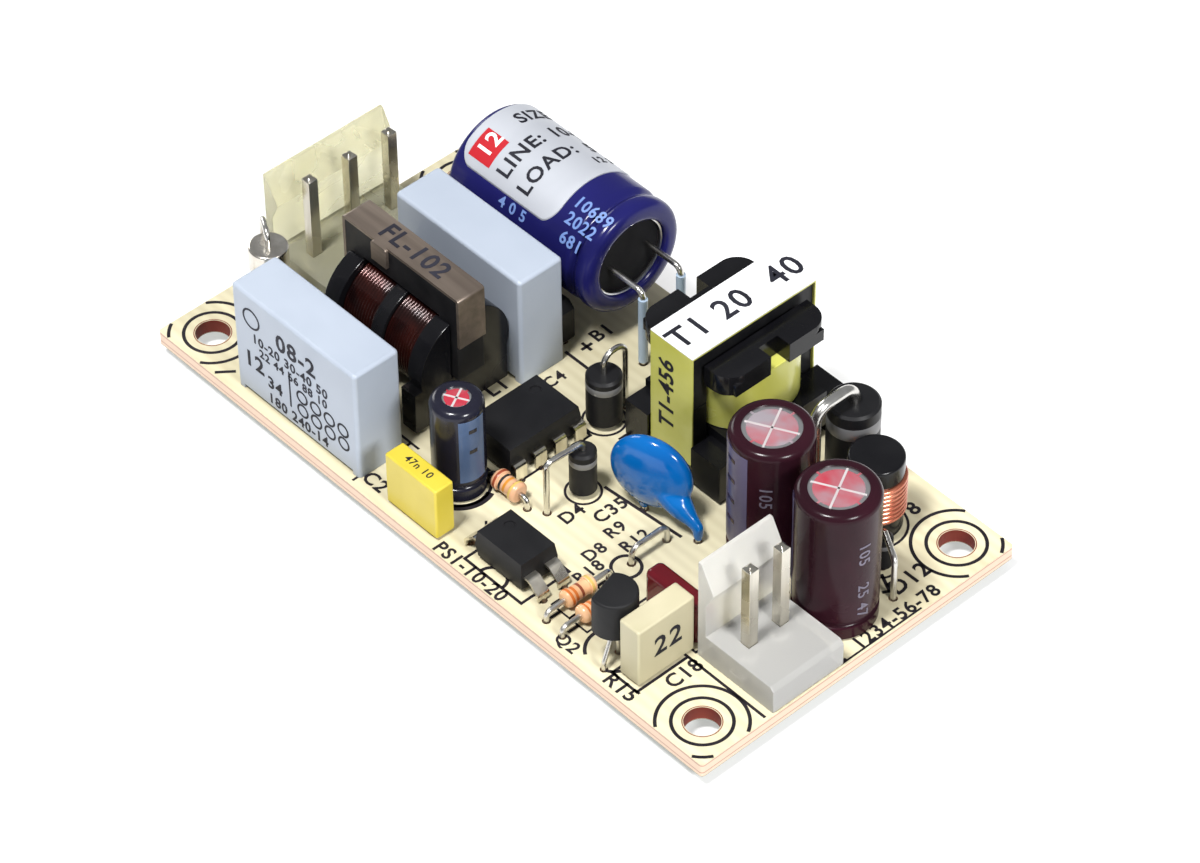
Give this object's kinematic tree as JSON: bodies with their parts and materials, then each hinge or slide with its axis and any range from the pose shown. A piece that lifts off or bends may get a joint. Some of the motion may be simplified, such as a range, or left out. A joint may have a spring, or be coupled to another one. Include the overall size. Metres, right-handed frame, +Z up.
{
  "type": "open frame power supply",
  "caption": "Open frame mains power supply: one circuit board with headers, capacitors, a choke, a transformer and diodes standing on it, bolted down through holes at its corners",
  "frame": {"origin": "centre of the rectangle of bolt holes, on the underside of the board", "axes": "+X along the long side from the input header to the output header, +Y across the board to the side with the bulk capacitor and the transformer, +Z up out of the component side"},
  "size_m": [0.0776, 0.0403, 0.0192],
  "materials": {
    "laminate": "pale cream laminate with black printing",
    "solder": "bright tin solder",
    "natural_nylon": "natural translucent moulded",
    "tinned_pin": "tinned square pin",
    "tinned_wire": "tinned copper wire",
    "fuse_tube": "pale ceramic tube",
    "fuse_cap": "nickel plated",
    "grey_box": "pale blue grey moulded box",
    "capacitor_aluminium": "drawn aluminium",
    "black_sleeve": "shrunk black film with printed stripe",
    "blue_sleeve": "shrunk dark blue film",
    "brown_sleeve": "shrunk brown film with printed stripe",
    "bung_rubber": "matt black rubber",
    "silver_label": "printed silver paper",
    "white_label": "printed white paper",
    "lead_tube": "blue grey tubing",
    "black_epoxy": "moulded black epoxy",
    "ferrite": "dark grey sintered ferrite",
    "spring_steel": "bent spring strip",
    "bobbin_black": "moulded black bobbin",
    "enamelled_copper": "red enamelled copper wire",
    "yellow_tape": "yellow polyester tape",
    "yellow_box": "yellow moulded box",
    "beige_box": "beige moulded box",
    "maroon_dip": "dark red dipped coating",
    "blue_dip": "blue dipped coating",
    "diode_epoxy": "moulded barrel with a silver band",
    "brown_resin": "brown coating with colour bands",
    "tan_resin": "tan coating with colour bands"
  },
  "bodies": {
    "root": {"beige_film_capacitor": "beige_box", "bias_capacitor_can": "capacitor_aluminium", "bias_capacitor_sleeve": "black_sleeve", "bridge_rectifier_body": "black_epoxy", "bridge_rectifier_leads": "tinned_wire", "brown_resistor_body": "brown_resin", "bulk_capacitor_bung": "bung_rubber", "bulk_capacitor_can": "capacitor_aluminium", "bulk_capacitor_label": "silver_label", "bulk_capacitor_lead_sleeves": "lead_tube", "bulk_capacitor_leads": "tinned_wire", "bulk_capacitor_sleeve": "blue_sleeve", "choke_bobbin": "bobbin_black", "choke_clip": "spring_steel", "choke_core": "ferrite", "choke_pins": "tinned_wire", "choke_windings": "enamelled_copper", "circuit_board": "laminate", "controller_ic_body": "black_epoxy", "controller_ic_pins": "tinned_pin", "disc_capacitor_body": "blue_dip", "drum_core": "ferrite", "drum_pins": "tinned_wire", "drum_winding": "enamelled_copper", "fuse_body": "fuse_tube", "fuse_end_caps": "fuse_cap", "fuse_leads": "tinned_wire", "input_header_housing": "natural_nylon", "input_header_pins": "tinned_pin", "jumper_wire": "tinned_wire", "maroon_film_capacitor": "maroon_dip", "optocoupler_body": "black_epoxy", "optocoupler_pins": "tinned_pin", "orange_resistor_bodies": "tan_resin", "output_capacitor_inner_can": "capacitor_aluminium", "output_capacitor_inner_sleeve": "brown_sleeve", "output_capacitor_outer_can": "capacitor_aluminium", "output_capacitor_outer_sleeve": "brown_sleeve", "output_header_housing": "natural_nylon", "output_header_pins": "tinned_pin", "radial_capacitor_bungs": "bung_rubber", "rectifier_diode_body": "diode_epoxy", "rectifier_diode_leads": "tinned_wire", "resistor_leads": "tinned_wire", "small_capacitor_leads": "tinned_wire", "small_diode_bodies": "diode_epoxy", "small_diode_leads": "tinned_wire", "solder_joints": "solder", "transformer_bobbin": "bobbin_black", "transformer_core": "ferrite", "transformer_core_tape": "yellow_tape", "transformer_label": "white_label", "transformer_pins": "tinned_wire", "transformer_winding": "yellow_tape", "transistor_body": "black_epoxy", "transistor_leads": "tinned_wire", "x_capacitor_front_case": "grey_box", "x_capacitor_leads": "tinned_wire", "x_capacitor_rear_case": "grey_box", "yellow_film_capacitor": "yellow_box"}
  },
  "joints": []
}
